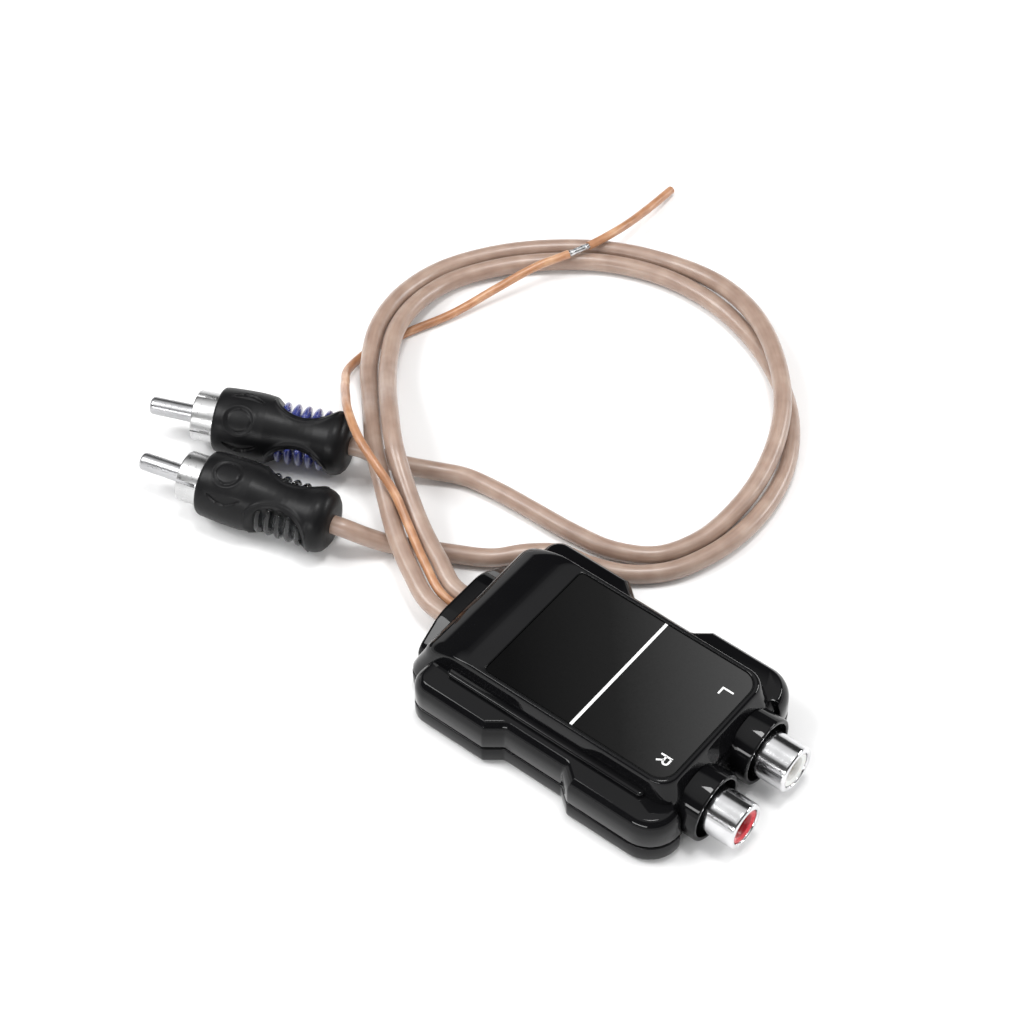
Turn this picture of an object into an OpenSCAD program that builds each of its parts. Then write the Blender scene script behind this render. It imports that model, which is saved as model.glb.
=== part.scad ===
// Ground loop isolator: a two-part casing with two phono jacks at the front, two isolation
// transformers on a board inside, and a twin cable with two phono plugs and a ground wire behind.
// +Y points out of the cable side, +X to the left-channel jack, +Z up. The underside is at z = 0.

/* [Casing] */
// Length of the casing, from the front of its wings to its cable collar
casing_len = 56; // [54:1:62]
// Width across the wings
wing_w = 40; // [39:0.25:41]
// Width across the waist between the wings
waist_w = 35.6; // [34.6:0.2:37]
// Height of the flat tops of the wings
wing_h = 9.8; // [9.6:0.1:10.4]
// Width of the raised deck at its top rim
deck_w = 27.8; // [27.4:0.2:29]
// Height of the raised deck
deck_h = 14; // [13.8:0.2:16]
// Height of the parting line between the two shells
split_h = 4.3; // [4:0.1:4.6]
// Thickness of the walls
wall = 1.5; // [1.2:0.1:1.6]
// Thickness of the floor of the lower shell
floor_t = 1.4; // [1.2:0.1:1.5]
// Length of the front wings
front_wing_len = 18; // [16:0.5:19]
// Length of the rear wings
rear_wing_len = 16; // [14:0.5:18]
// Length of the tail that stands out behind the rear wings
tail_len = 3.7; // [3:0.1:4]
// Width of the tail at the parting line
tail_w = 30.4; // [29:0.2:31]
// Radius of the front corners of the casing
front_corner_r = 5.8; // [4.5:0.1:5.9]

/* [Label plate] */
// Width of the label plate
label_w = 25.8; // [24:0.2:26]
// Length of the label plate
label_len = 36.3; // [32:0.1:37]
// Thickness of the label plate
label_t = 0.4; // [0.3:0.05:0.45]
// Depth of the recess that the label plate lies in
label_recess = 0.6; // [0.5:0.05:0.7]

/* [Jacks] */
// Distance between the axes of the two jacks
jack_pitch = 14; // [13.4:0.1:14.4]
// Diameter of a jack's barrel
jack_d = 8.3; // [8.1:0.05:8.4]
// Distance that the jacks stand out in front of the wings
jack_reach = 8; // [7:0.5:10]
// Height of the axes of the jacks
jack_h = 5.8; // [5.7:0.1:6]
// Diameter of the collar around each jack
collar_d = 12.2; // [11.8:0.1:12.6]
// Length of the collars in front of the recessed front wall
collar_len = 3.2; // [2:0.1:5]

/* [Transformers and board] */
// Distance between the middles of the two transformers
trafo_pitch = 11.8; // [11.2:0.1:12]
// Length of a transformer's core
core_len = 12.6; // [11:0.2:16]
// Gap between the top of a transformer's core and the ceiling of the deck
core_gap = 1.1; // [0.9:0.1:1.9]
// Thickness of the stack of laminations
core_t = 4.6; // [3.6:0.1:5]
// Thickness of the circuit board
board_t = 1; // [0.8:0.1:1.2]

/* [Screws] */
// Diameter of the shank of a casing screw
screw_d = 2; // [1.6:0.1:2.2]

/* [Cable and plugs] */
// Diameter of each of the two cables
cable_d = 3.3; // [3:0.1:3.4]
// Diameter of the ground wire
wire_d = 1.6; // [1.4:0.1:1.7]
// Length of the rubber body of a plug
plug_len = 24; // [22:0.5:27]
// Diameter of the head of a plug's body
plug_d = 12.2; // [11.6:0.1:12.2]
// Diameter of a plug's pin
pin_d = 3.2; // [3:0.05:3.25]
// Distance that a plug's pin stands out in front of its shield
pin_reach = 8.6; // [7:0.1:10]
// Length of a plug's shield in front of the body
shield_len = 4.2; // [3.6:0.1:6]

/* [Hidden] */
$fn = 48;
eps = 0.01;

// Places along the length. The whole casing with its jacks is centred on y = 0.
total_len = casing_len + jack_reach;
face_y = -total_len / 2;
front_y = face_y + jack_reach;
rear_y = total_len / 2;

// The recessed wall between the front ends of the wings, and the deck's front above it
bay_depth = 1.1;
bay_w = 26.8;
bay_y = front_y + bay_depth;
bay_in_y = bay_y + wall;
deck_setback = 0.6;
deck_front_y = bay_y + deck_setback;

// The collar at the rear that the cable comes out of
collar_rise = 1;
nose_w = 22.8;
nose_h = 9;
nose_lift = 0.2;
nose_r = nose_h / 2;
nose_z = nose_lift + nose_r;
nose_wall = 1.6;
tail_y = rear_y - collar_rise;
wing_end_y = tail_y - tail_len;
wing_slope = 2.8;

// The deck's side walls lean outward as they go down
deck_slope = (tail_w - deck_w) / 2 / (deck_h - split_h);
deck_corner_r = 3.6;
tail_corner_r = 2.4;
deck_flat_end = wing_end_y - 6.9;
rim_front = 0.9;
rim_lean = 1.4;
ceiling_z = wing_h - wall;

// The bead that runs along the foot of the deck on both sides
bead_w = 2;
bead_out = 1;
bead_h = 1;
bead_x = deck_w / 2 + (deck_h - wing_h) * deck_slope + bead_out - bead_w / 2;
bead_front_y = front_y + 6.8;
bead_rear_y = wing_end_y - 4.8;

// The room under the deck
deck_ceiling_z = deck_h - label_recess - wall;
deck_cavity_w = deck_w - 2 * wall - 0.2;

// The label plate, inside its rim
label_gap = 0.1;
label_front_y = deck_front_y + rim_lean + rim_front + label_gap;
label_z = deck_h - label_recess;

// The lip of the lower shell that the upper shell closes over
lip_t = 0.6;
lip_h = 1;
lip_gap = 0.1;
seam_h = 0.35;
seam_d = 0.3;

// The jacks
jack_r = jack_d / 2;
jack_gap = 0.1;
collar_r = collar_d / 2;
collar_t = 0.8;
flange_t = 1;
flange_r = 5.4;
flange_low = 0.2;
flange_gap = 0.05;
barrel_t = 1;
barrel_edge = 0.6;
barrel_root_r = jack_r - 0.25;
barrel_free_y = bay_y - 0.3;
insert_gap = 0.05;
insert_r = jack_r - barrel_t - insert_gap;
insert_setback = 0.3;
insert_back_y = bay_in_y + flange_t + 2;
contact_r = pin_d / 2;
contact_t = 0.35;
contact_front_y = face_y + 1.5;
contact_back_y = insert_back_y + 0.9;
lug_t = 0.4;

// The board on its four posts
board_gap = 1;
board_z = floor_t + board_gap;
board_top = board_z + board_t;
board_w = 24.4;
board_front_y = insert_back_y + 0.3;
board_back_y = wing_end_y - wall - 3.4;
post_r = 1.4;
post_pin_r = 0.6;
post_pin_gap = 0.1;
post_x = 10;
post_inset = 3;

// The transformers, one for each channel
trafo_y = (board_front_y + board_back_y) / 2 - 1.5;
yoke = 1.4;
middle_leg = 2.8;
bobbin_gap = 0.05;
bobbin_t = 0.5;
bobbin_w = 10.2;
window_len = (core_len - 2 * yoke - middle_leg) / 2;
bobbin_len = middle_leg + 2 * (window_len - 0.15);
core_h = deck_ceiling_z - core_gap - board_top;
bobbin_z = board_top + yoke + bobbin_gap;
bobbin_h = core_h - 2 * yoke - 2 * bobbin_gap;
flange_cheek = 0.6;
winding_gap = 0.05;
terminal_r = 0.3;
terminal_pitch = 2.5;
terminal_drop = 0.6;

// The four casing screws
screw_x = wing_w / 2 - 3.8;
screw_front_y = front_y + 8;
screw_rear_y = wing_end_y - 6.5;
boss_r = 2.2;
screw_head_r = 1.8;
screw_head_t = 0.9;
screw_sunk = 0.3;
screw_gap = 0.1;
screw_tip_gap = 0.4;

// The grommet, and the leads from it to the board
grommet_gap = 0.1;
grommet_flange = 1;
grommet_in_y = wing_end_y - wall;
grommet_step = 0.9;
cable_r = cable_d / 2;
wire_r = wire_d / 2;
exit_spread = 2.6;
lead_r = 0.9;
wire_core_r = 0.4;
lead_end_y = board_back_y - 2.5;
jacket_y = rear_y - 3.8;

// The plugs, each with its tail end at a chosen place, its pin pointing at a chosen heading, and
// rolled about its own axis
plug_r = plug_d / 2;
pin_r = pin_d / 2;
right_plug_at = [15.5, 69, plug_r + 0.05];
right_plug_heading = 113;
right_plug_roll = -36;
left_plug_at = [0, 59.8, plug_r + 0.05];
left_plug_heading = 105;
left_plug_roll = -10;
scoop_r = 7.2;
scoop_web = 5.9;
scoop_x = 8.6;
grip_core_r = 4;
grip_rib_r = 5.5;
grip_start = 1.6;
grip_len = plug_len - 8;
rib_count = 5;
rib_pitch = 1.9;
rib_t = 1.2;
shield_r = 4.15;
shield_t = 0.3;
shield_depth = 3;
shield_slots = 4;
slot_w = 0.6;
insulator_len = 3.2;
tail_flat_r = 3.2;
pin_root_r = pin_r - 0.25;
pin_root_x = plug_len - 6;
pin_free_x = plug_len + 0.9;

// Middle of the two cables from the casing to where they part: x, y, z, the angle that the pair
// is turned about its run, and the distance of each cable from the middle
PAIR = [
    [0, 28.2, 4.7, 0, 2.6], [0, 32, 4.7, 0, 2.6], [0.2, 36, 4.9, 0, 2.6], [3, 42, 5.5, 0, 2.6],
    [7, 49, 6.2, 0, 2.3], [11.5, 55.5, 7.8, 10, 1.9], [16, 61.5, 9.8, 22, 1.8],
    [22, 67.5, 9.5, 30, 1.8], [28, 73, 6.8, 30, 1.8], [34.5, 78.5, 5, 15, 1.8],
    [42, 83, 4.5, 5, 1.75], [51, 85.5, 3.2, 0, 1.75], [60.5, 85, 2, 0, 1.75],
    [70, 80, 1.8, 0, 1.75], [78, 72.5, 1.8, 0, 1.75], [84, 64, 1.8, 0, 1.75],
    [87.5, 54, 2, -5, 1.75], [88, 43.5, 2.6, -25, 1.8], [85, 33, 3.4, -60, 1.85],
    [79, 23, 3.6, -90, 1.85], [71, 15, 3.6, -115, 1.85], [60.5, 9.5, 3, -140, 1.85],
    [49, 7.5, 2.4, -160, 1.8], [38, 9, 1.8, -180, 1.8], [31, 12.5, 1.8, -180, 2]];
// The two cables after they part, as far as their plugs
RIGHT_RUN = [[28, 21, 1.8], [26.8, 29, 1.8], [26.5, 37, 1.8], [26.2, 44.5, 1.8],
    [25.2, 51.5, 1.8], [22.6, 56.5, 2.2], [19.9, 60.5, 3.2], [17.7, 64.4, 4.6]];
LEFT_RUN = [[25, 16.5, 1.8], [22.9, 22, 1.8], [21.8, 27.5, 1.8], [18.5, 32, 1.8],
    [14, 36, 1.8], [10.4, 42, 1.8], [7.6, 47.6, 1.8], [5, 51.6, 2.4], [2.6, 54.8, 4.2]];
// The ground wire, before and after the window where its jacket is stripped
WIRE_START = [[0, 28.2, 4.7], [0, 32, 4.7], [0.2, 36, 5.3], [3, 42, 6.2], [7, 49, 7.6],
    [9.8, 54.5, 9.8], [11, 59, 11.8], [13, 64.5, 13.1], [17, 70.5, 12.7], [22, 75.5, 9.2],
    [27, 80, 5.4], [32, 83.6, 2.2], [38, 84.4, 0.9], [46, 82, 0.9], [55, 78.2, 1.2],
    [64, 75, 2.6], [72, 71.5, 4.4], [77.5, 68.8, 4.7]];
WIRE_END = [[81.5, 67.2, 4.7], [88.5, 65.6, 4.4], [97.5, 65.8, 2.4], [106, 66.2, 1]];

function unit(v) = v / norm(v);
function last(list) = list[len(list) - 1];
function middle(points) = [for (k = [0:2]) sum(points, k) / len(points)];
function sum(points, k, i = 0) = i == len(points) ? 0 : points[i][k] + sum(points, k, i + 1);

// Corner b of an outline that turns left, moved inward by d
function moved_in(a, b, c, d) =
    let (u = unit(b - a), v = unit(c - b), m = [-u[1] - v[1], u[0] + v[0]])
    b + m * d / (1 + u * v);

// Points of the rounded corner at b, with n steps
function round_corner(a, b, c, r, n) =
    let (u = unit(b - a), v = unit(c - b), side = sign(u[0] * v[1] - u[1] * v[0]),
        turn = acos(u * v), start = b - u * r * tan(turn / 2),
        middle = start + [-u[1], u[0]] * r * side, from = atan2(-side * u[0], side * u[1]))
    [for (k = [0:n]) middle + r * [cos(from + side * turn * k / n), sin(from + side * turn * k / n)]];

// An outline with its corners [x, y, radius] moved inward by d and rounded
function outline(corners, d) =
    let (n = len(corners), p = [for (c = corners) [c[0], c[1]]],
        q = [for (i = [0:n - 1]) moved_in(p[(i + n - 1) % n], p[i], p[(i + 1) % n], d)])
    [for (i = [0:n - 1])
        let (a = p[(i + n - 1) % n], b = p[i], c = p[(i + 1) % n],
            bend = (b[0] - a[0]) * (c[1] - b[1]) - (b[1] - a[1]) * (c[0] - b[0]),
            r = max(0.3, corners[i][2] - sign(bend) * d), steps = corners[i][2] > 2 ? 5 : 1)
        each round_corner(q[(i + n - 1) % n], q[i], q[(i + 1) % n], r, steps)];

// Both halves of an outline from the corners of its +X half, listed from front to rear
function mirrored(half) =
    concat(half, [for (i = [len(half) - 1:-1:0]) [-half[i][0], half[i][1], half[i][2]]]);

// Corners of the +X half of the wings, from front to rear, with the front corner's radius
function wing_half(r) = [
    [wing_w / 2, front_y, r], [wing_w / 2, front_y + front_wing_len, 0.8],
    [waist_w / 2, front_y + front_wing_len + wing_slope, 0.8],
    [waist_w / 2, wing_end_y - rear_wing_len - wing_slope, 0.8],
    [wing_w / 2, wing_end_y - rear_wing_len, 0.8], [wing_w / 2, wing_end_y, 3.5]];
// The wings, the lower shell with its tail, and the inside that steps round the bay
inside_corner_r = (wing_w - bay_w) / 2 - 2 * wall - 0.4;
WINGS = mirrored(wing_half(front_corner_r));
BASE = mirrored(concat(wing_half(front_corner_r),
    [[tail_w / 2, wing_end_y, 0.5], [tail_w / 2, tail_y, 2.2]]));
INSIDE = mirrored(concat([[bay_w / 2, bay_y, 0.3 - wall], [bay_w / 2, front_y, 0.3]],
    wing_half(inside_corner_r + wall)));
BEAD = mirrored([[bead_w / 2, bead_front_y, 0.8], [bead_w / 2, bead_rear_y, 0.8]]);
LABEL = mirrored([[label_w / 2, label_front_y, 3],
    [label_w / 2, label_front_y + label_len, 0.8]]);
NOSE = mirrored([[nose_w / 2, nose_lift, 3], [nose_w / 2, nose_z + 0.6, 3],
    [nose_w / 2 - 6, nose_lift + nose_h, 6]]);

// A closed skin over rings of the same number of points, in order along their run. Each side is
// one flat face with four corners, or two with three where it is bent.
module skin(rings, bent = false) {
    n = len(rings[0]);
    m = len(rings);
    sides = [for (j = [0:m - 2], i = [0:n - 1])
        let (a = j * n + i, b = j * n + (i + 1) % n, c = b + n, d = a + n)
        each bent ? [[a, d, c], [a, c, b]] : [[a, d, c, b]]];
    caps = [for (i = [0:n - 1]) let (k = (i + 1) % n, top = (m - 1) * n)
        each [[i, k, n * m], [top + k, top + i, n * m + 1]]];
    polyhedron(concat([for (r = rings) each r], [middle(rings[0]), middle(rings[m - 1])]),
        concat(sides, caps), convexity = 8);
}

// A skin of one outline at several levels [height, inset]
module levels(corners, steps) {
    skin([for (s = steps) [for (p = outline(corners, s[1])) [p[0], p[1], s[0]]]]);
}

// An outline in x and z, drawn out along y
module along_y(points, from, to) {
    translate([0, to, 0]) rotate([90, 0, 0]) linear_extrude(to - from) polygon(points);
}

// A cylinder along y
module rod_y(x, z, r, from, to) {
    translate([x, to, z]) rotate([90, 0, 0]) cylinder(h = to - from, r = r);
}

// A block between two corners
module block(low, high) {
    translate(low) cube(high - low);
}

module at_both(x) {
    translate([x, 0, 0]) children();
    translate([-x, 0, 0]) children();
}

module at_screws() {
    for (x = [-screw_x, screw_x], y = [screw_front_y, screw_rear_y])
        translate([x, y, 0]) children();
}

// Plan of the deck at height z, with its front and rear at given places and its edge inset by d
function deck_plan(z, front, rear, d) =
    let (half = deck_w / 2 + (deck_h - z) * deck_slope)
    [for (p = outline(mirrored([[half, front, deck_corner_r], [half, rear, tail_corner_r]]), d))
        [p[0], p[1], z]];

// Plans of the deck, from the parting line to its flat top
deck_plans = [
    deck_plan(split_h, deck_front_y, tail_y, 0),
    deck_plan(split_h + 0.6, deck_front_y, tail_y, 0),
    deck_plan(deck_h - 5.4, deck_front_y, deck_flat_end + 8.9, 0),
    deck_plan(deck_h - 3.6, deck_front_y + rim_lean * 0.1, deck_flat_end + 8.2, 0),
    deck_plan(deck_h - 2.5, deck_front_y + rim_lean * 0.35, deck_flat_end + 7.4, 0),
    deck_plan(deck_h - 1.4, deck_front_y + rim_lean * 0.62, deck_flat_end + 5.4, 0),
    deck_plan(deck_h - 0.6, deck_front_y + rim_lean * 0.84, deck_flat_end + 3.4, 0),
    deck_plan(deck_h - 0.2, deck_front_y + rim_lean * 0.95, deck_flat_end + 1.8, 0.15),
    deck_plan(deck_h, deck_front_y + rim_lean, deck_flat_end, 0.5)];

// Outer form of the collars around the jacks
module collars(low, high) {
    intersection() {
        at_both(jack_pitch / 2)
            rod_y(0, jack_h, collar_r, bay_y - collar_len, bay_in_y + 0.5);
        block([-wing_w / 2, face_y, low], [wing_w / 2, 0, high]);
    }
}

// What is cut from the front for the jacks
module jack_cuts() {
    at_both(jack_pitch / 2) {
        rod_y(0, jack_h, collar_r - collar_t, bay_y - collar_len - 1, bay_y);
        rod_y(0, jack_h, jack_r + jack_gap, bay_y - 1, bay_in_y + 1);
    }
}

// The tunnel that holds the grommet
module grommet_tunnel() {
    along_y(outline(NOSE, nose_wall), grommet_in_y - 1, rear_y + 1);
}

// Places of the tongues along the sides: half width of the wall there, and their two ends
tongues = [[wing_w / 2, front_y + 10.8, front_y + front_wing_len - 1.5],
    [waist_w / 2, front_y + front_wing_len + wing_slope + 1, wing_end_y - rear_wing_len - wing_slope - 1],
    [wing_w / 2, wing_end_y - rear_wing_len + 1.5, wing_end_y - 9.4]];

// The tongues that locate the shells on each other, or their slots where gap is given
module lip(gap) {
    for (t = tongues, side = [-1, 1])
        block([side * (t[0] - wall / 2) - lip_t / 2 - gap, t[1] - gap, split_h - 1],
            [side * (t[0] - wall / 2) + lip_t / 2 + gap, t[2] + gap, split_h + lip_h + gap]);
}

// The bay between the front ends of the wings, where the jacks stand
module bay() {
    block([-bay_w / 2, face_y, -1], [bay_w / 2, bay_y, deck_h]);
}

module upper_casing() {
    color("#141414") difference() {
        union() {
            difference() {
                levels(WINGS, [[split_h, 0], [wing_h - 1.4, 0.3], [wing_h - 0.5, 0.85], [wing_h, 1.6]]);
                bay();
            }
            skin(deck_plans);
            at_both(bead_x)
                levels(BEAD, [[wing_h - 0.5, 0], [wing_h + bead_h - 0.3, 0], [wing_h + bead_h, 0.3]]);
            collars(split_h, deck_h);
            intersection() {
                along_y(outline(NOSE, 0), grommet_in_y + 0.3, rear_y);
                block([-wing_w / 2, 0, split_h], [wing_w / 2, rear_y + 1, deck_h]);
            }
        }
        difference() {
            translate([0, 0, split_h - 1]) linear_extrude(ceiling_z - split_h + 1)
                polygon(outline(INSIDE, wall));
            at_screws() cylinder(h = deck_h, r = boss_r);
        }
        block([-deck_cavity_w / 2, bay_in_y + 1, split_h],
            [deck_cavity_w / 2, deck_flat_end - 1, deck_ceiling_z]);
        block([-deck_cavity_w / 2 + 0.3, bay_in_y + 0.02, split_h],
            [deck_cavity_w / 2 - 0.3, bay_in_y + 1.5, jack_h + flange_r - 0.6]);
        lip(lip_gap);
        jack_cuts();
        at_both(jack_pitch / 2)
            block([-jack_r, bay_y - 1, 0], [jack_r, bay_in_y + 1, jack_h]);
        grommet_tunnel();
        at_screws() cylinder(h = ceiling_z - screw_tip_gap + 0.2, r = screw_d / 2 + screw_gap / 2);
        translate([0, 0, label_z]) linear_extrude(label_recess + 1) polygon(outline(LABEL, -label_gap));
    }
}

module lower_casing() {
    color("#161616") difference() {
        union() {
            difference() {
                levels(BASE, [[0, 1.2], [0.4, 0.5], [1.2, 0], [split_h - seam_h, 0],
                    [split_h - seam_h, seam_d], [split_h, seam_d]]);
                bay();
            }
            collars(0, split_h);
            intersection() {
                along_y(outline(NOSE, 0), grommet_in_y + 0.3, rear_y);
                block([-wing_w / 2, 0, 0], [wing_w / 2, rear_y + 1, split_h]);
            }
            lip(0);
        }
        difference() {
            translate([0, 0, floor_t]) linear_extrude(split_h) polygon(outline(INSIDE, wall));
            at_screws() cylinder(h = split_h, r = boss_r);
            at_posts() cylinder(h = board_z, r = post_r);
            at_posts() cylinder(h = board_top, r = post_pin_r);
        }
        jack_cuts();
        grommet_tunnel();
        at_screws() {
            translate([0, 0, -1]) cylinder(h = split_h + 2, r = screw_d / 2 + screw_gap);
            translate([0, 0, -1])
                cylinder(h = screw_sunk + screw_head_t + 1, r = screw_head_r + screw_gap);
        }
    }
}

module at_posts() {
    for (x = [-post_x, post_x], y = [board_front_y + post_inset, board_back_y - post_inset])
        translate([x, y, 0]) children();
}

module label_plate() {
    color("#2b2b2d") translate([0, 0, label_z]) linear_extrude(label_t) polygon(outline(LABEL, 0));
}

// The barrel of one jack, with the flange that bears on the inside of the front wall
module jack_barrel(x) {
    color("#d8dadc") translate([x, 0, jack_h]) difference() {
        union() {
            rotate([-90, 0, 0]) rotate_extrude() polygon([
                [0, face_y], [jack_r - barrel_edge, face_y], [jack_r, face_y + barrel_edge],
                [jack_r, barrel_free_y], [barrel_root_r, barrel_free_y + 0.1],
                [barrel_root_r, bay_in_y + flange_t - eps], [0, bay_in_y + flange_t - eps]]);
            intersection() {
                rod_y(0, 0, flange_r, bay_in_y + flange_gap, bay_in_y + flange_t);
                block([-flange_r, bay_in_y - 1, floor_t + flange_low - jack_h],
                    [flange_r, bay_in_y + flange_t + 1, flange_r - 0.8]);
            }
        }
        rod_y(0, 0, insert_r + insert_gap, face_y - 1, bay_in_y + flange_t + 1);
    }
}

// The coloured insulator inside a barrel, with a funnel that leads the pin into the contact
module jack_insert(x, colour) {
    front = face_y + insert_setback;
    neck = contact_front_y - 0.3;
    color(colour) translate([x, 0, jack_h]) rotate([-90, 0, 0]) rotate_extrude() polygon([
        [insert_r - 0.5, front], [insert_r, front + 0.2], [insert_r, insert_back_y],
        [contact_r + contact_t + 0.02, insert_back_y], [contact_r + contact_t + 0.02, contact_front_y],
        [contact_r + 0.1, contact_front_y], [contact_r + 0.1, neck]]);
}

// The centre contact of a jack, a sleeve with a tail that stands on the board
module jack_contact(x) {
    color("#d9b45a") translate([x, 0, 0]) {
        difference() {
            union() {
                rod_y(0, jack_h, contact_r + contact_t, contact_front_y, contact_back_y);
                block([-0.6, contact_back_y - 0.4, board_top], [0.6, contact_back_y, jack_h - contact_r]);
            }
            rod_y(0, jack_h, contact_r, contact_front_y - 1, contact_back_y - 1.2);
        }
    }
}

// The ground lug behind a jack's flange, with a leg on the board
module ground_lug(x) {
    side = sign(x);
    back = bay_in_y + flange_t;
    color("#c9b27a") translate([x, 0, 0]) {
        difference() {
            intersection() {
                rod_y(0, jack_h, flange_r - 0.4, back, back + lug_t);
                block([-flange_r, back, floor_t + flange_low + 0.1], [flange_r, back + lug_t, jack_h + 4.4]);
            }
            rod_y(0, jack_h, insert_r + 0.15, back - 1, back + 1);
        }
        block([side * 3.9 - 0.6, back, board_top], [side * 3.9 + 0.6, back + lug_t, jack_h]);
        block([side * 3.9 - 0.6, back, board_top], [side * 3.9 + 0.6, board_front_y + 1.2, board_top + lug_t]);
    }
}

module circuit_board() {
    color("#1f5a36") difference() {
        block([-board_w / 2, board_front_y, board_z], [board_w / 2, board_back_y, board_top]);
        at_posts() cylinder(h = split_h, r = post_pin_r + post_pin_gap);
        at_terminals() cylinder(h = split_h, r = terminal_r + 0.05);
    }
}

// The lamination stack of one transformer, a frame with a middle leg
module core(x) {
    color("#8b8d90") translate([x, trafo_y, board_top]) difference() {
        block([-core_t / 2, -core_len / 2, 0], [core_t / 2, core_len / 2, core_h]);
        for (side = [-1, 1])
            translate([0, side * (middle_leg + window_len) / 2, core_h / 2])
                cube([core_t + 1, window_len, core_h - 2 * yoke], center = true);
    }
}

// The bobbin of one transformer, a tube around the middle leg with two cheeks
module bobbin(x) {
    hole = [core_t + 2 * bobbin_gap, middle_leg + 2 * bobbin_gap];
    color("#e8e2d0") translate([x, trafo_y, bobbin_z]) difference() {
        union() {
            translate([0, 0, bobbin_h / 2])
                cube([hole[0] + 2 * bobbin_t, hole[1] + 2 * bobbin_t, bobbin_h], center = true);
            for (z = [flange_cheek / 2, bobbin_h - flange_cheek / 2])
                translate([0, 0, z]) cube([bobbin_w, bobbin_len, flange_cheek], center = true);
        }
        translate([0, 0, bobbin_h / 2]) cube([hole[0], hole[1], bobbin_h + 1], center = true);
    }
}

// The winding of one transformer, between the cheeks of its bobbin
module winding(x) {
    inner = [core_t + 2 * (bobbin_gap + bobbin_t + winding_gap),
        middle_leg + 2 * (bobbin_gap + bobbin_t + winding_gap)];
    outer = [bobbin_w - 0.8, bobbin_len - 0.5];
    low = bobbin_z + flange_cheek + winding_gap;
    high = bobbin_z + bobbin_h - flange_cheek - winding_gap;
    corners = mirrored([[outer[0] / 2, -outer[1] / 2, 1.2], [outer[0] / 2, outer[1] / 2, 1.2]]);
    color("#b5622c") translate([x, trafo_y, low]) difference() {
        linear_extrude(high - low) polygon(outline(corners, 0));
        translate([0, 0, (high - low) / 2]) cube([inner[0], inner[1], high], center = true);
    }
}

module at_terminals() {
    for (x = [-trafo_pitch / 2, trafo_pitch / 2], side = [-1, 1], k = [-1:1])
        translate([x + side * (bobbin_w / 2 - 0.6), trafo_y + k * terminal_pitch, 0]) children();
}

// The pins that carry the bobbins on the board
module terminal_pins() {
    color("#c8ccd0") at_terminals()
        translate([0, 0, board_z - terminal_drop])
            cylinder(h = bobbin_z - board_z + terminal_drop, r = terminal_r, $fn = 16);
}

// One casing screw, with its head sunk in the underside
module screw(x, y) {
    color("#3a3a3c") translate([x, y, screw_sunk]) difference() {
        union() {
            cylinder(h = screw_head_t, r = screw_head_r);
            cylinder(h = ceiling_z - screw_tip_gap - screw_sunk - 0.4, r = screw_d / 2);
        }
        for (turn = [0, 90])
            rotate(turn) translate([0, 0, 0.2]) cube([2.2, 0.5, 0.5], center = true);
    }
}

// The rubber grommet in the collar, flanged behind the rear wall
module cable_grommet() {
    color("#1c1c1c") difference() {
        union() {
            along_y(outline(NOSE, nose_wall + grommet_gap), grommet_in_y - grommet_flange, rear_y);
            intersection() {
                along_y(outline(NOSE, nose_wall - grommet_step),
                    grommet_in_y - grommet_flange - 0.05, grommet_in_y - 0.05);
                block([-nose_w, 0, floor_t + 0.1], [nose_w, rear_y, ceiling_z - 0.1]);
            }
        }
        for (x = [-exit_spread, exit_spread]) {
            rod_y(x, PAIR[0][2], lead_r + 0.1, grommet_in_y - 3, rear_y - 2);
            rod_y(x, PAIR[0][2], cable_r + 0.05, jacket_y - 0.1, rear_y + 1);
        }
        rod_y(0, PAIR[0][2], wire_core_r + 0.1, grommet_in_y - 3, rear_y - 2);
        rod_y(0, PAIR[0][2], wire_r + 0.05, jacket_y - 0.1, rear_y + 1);
    }
}

// The ends of the two cables and of the ground wire, from the grommet to the board
module inner_leads() {
    color("#b87a4b") for (lead = [[-exit_spread, lead_r], [exit_spread, lead_r], [0, wire_core_r]]) {
        rod_y(lead[0], PAIR[0][2], lead[1], lead_end_y, jacket_y);
        translate([lead[0], lead_end_y + lead[1], board_top])
            cylinder(h = PAIR[0][2] - board_top, r = lead[1] * 0.7);
    }
}

// Direction of the run at point i of a route
function run_at(route, i) =
    i == 0 ? unit(route[1] - route[0])
    : i == len(route) - 1 ? unit(route[i] - route[i - 1])
    : unit(unit(route[i + 1] - route[i]) + unit(route[i] - route[i - 1]));

// The cords and plugs keep their place behind the end of the casing
module from_exit() {
    translate([0, rear_y - PAIR[1][1], 0]) children();
}

// A tube of radius r with eight sides along a route
module tube(route, r) {
    from_exit()
    skin(bent = true, rings = [for (i = [0:len(route) - 1])
        let (t = run_at(route, i), s = unit(cross(t, [0, 0, 1])), u = cross(s, t))
        [for (k = [0:7]) route[i] + r * (s * cos(45 * k) - u * sin(45 * k))]]);
}

// One cable of the pair: side is -1 on the left of the run and 1 on the right of it
function pair_run(side) =
    let (middle = [for (p = PAIR) [p[0], p[1], p[2]]])
    [for (i = [0:len(PAIR) - 1])
        let (t = run_at(middle, i), s = unit(cross(t, [0, 0, 1])), u = cross(s, t), a = PAIR[i][3])
        middle[i] + side * PAIR[i][4] * (s * cos(a) + u * sin(a))];

// The point on a plug's axis at distance d behind its tail end
function behind_plug(at, heading, d) = at - d * [cos(heading), sin(heading), 0];

module right_cable() {
    color("#c79b86") tube(concat(pair_run(-1), RIGHT_RUN,
        [for (d = [1.5, 0]) behind_plug(right_plug_at, right_plug_heading, d)]), cable_r);
}

module left_cable() {
    color("#c79b86") tube(concat(pair_run(1), LEFT_RUN,
        [for (d = [1.5, 0]) behind_plug(left_plug_at, left_plug_heading, d)]), cable_r);
}

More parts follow.
